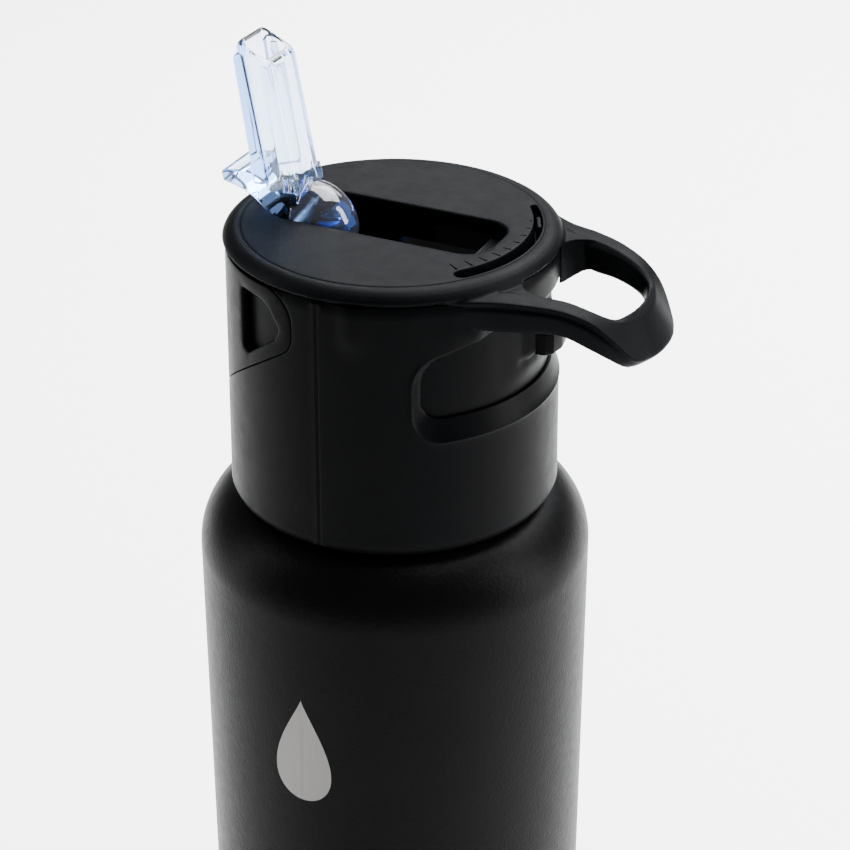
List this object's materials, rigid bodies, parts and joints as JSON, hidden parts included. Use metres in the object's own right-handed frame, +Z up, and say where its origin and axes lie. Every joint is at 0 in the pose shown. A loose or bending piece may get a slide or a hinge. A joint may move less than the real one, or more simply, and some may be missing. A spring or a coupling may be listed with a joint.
{
  "type": "insulated water bottle",
  "caption": "Double-wall steel water bottle with a screw-on lid, fold-down clear drinking spout, rotating flow dial and carry loop.",
  "frame": {"origin": "centre of the flat underside of the base pad", "axes": "+Z up the bottle's axis towards the lid, +X towards the carry loop, spout on the -X side"},
  "size_m": [0.1019, 0.0846, 0.2934],
  "materials": {
    "powder_coat": "fine-textured matte black powder coat",
    "steel": "brushed stainless steel",
    "getter": "sintered getter pellet",
    "pad_rubber": "matte black rubber",
    "lid_plastic": "matte black polypropylene",
    "cover_plastic": "fine matte black polypropylene",
    "gloss_black": "glossy black",
    "core_plastic": "black polypropylene",
    "foam": "closed-cell insulation foam",
    "silicone": "translucent grey silicone",
    "straw_plastic": "translucent natural polypropylene",
    "pointer_grey": "light grey",
    "mark_white": "white print",
    "clear_plastic": "clear copolyester with a slight blue cast"
  },
  "bodies": {
    "bottle": {"outer_shell": "powder_coat", "inner_flask": "steel", "base_plate": "steel", "vacuum_seal": "steel", "getter": "getter", "base_pad": "pad_rubber"},
    "seal_ring": {"lid_gasket": "silicone"},
    "lid": {"lid_skirt": "lid_plastic", "front_panel": "lid_plastic", "top_cover": "cover_plastic", "carry_ring": "cover_plastic", "slot_tray": "gloss_black", "mouth_rest": "lid_plastic", "spout_socket": "core_plastic", "spout_seal": "silicone", "lid_core": "core_plastic", "plug_cup": "core_plastic", "foam_plug": "foam", "straw_nipple": "core_plastic", "straw": "straw_plastic", "vent_valve": "silicone"},
    "dial": {"flow_ring": "lid_plastic", "flow_valve": "core_plastic", "flow_pointer": "pointer_grey", "flow_mark": "mark_white"},
    "flip_spout": {"spout": "clear_plastic", "spout_axle": "steel"}
  },
  "joints": [
    {"name": "lid_lift", "type": "slide", "parent": "bottle", "child": "seal_ring", "axis": [0, 0, 1], "range_m": [0, 0.01]},
    {"name": "lid_turn", "type": "hinge", "parent": "seal_ring", "child": "lid", "pos_m": [0, 0, 0.2222], "axis": [0, 0, 1], "range_deg": [0, 900]},
    {"name": "dial_turn", "type": "hinge", "parent": "lid", "child": "dial", "pos_m": [0, 0, 0.24], "axis": [0, 0, 1], "range_deg": [-40, 8]},
    {"name": "spout_fold", "type": "hinge", "parent": "lid", "child": "flip_spout", "pos_m": [-0.0215, 0, 0.253], "axis": [0, 1, 0], "range_deg": [0, 98]}
  ],
  "couplings": [
    {"joint": "lid_lift", "follows": "lid_turn", "m_per_rad": 0.00063662}
  ]
}
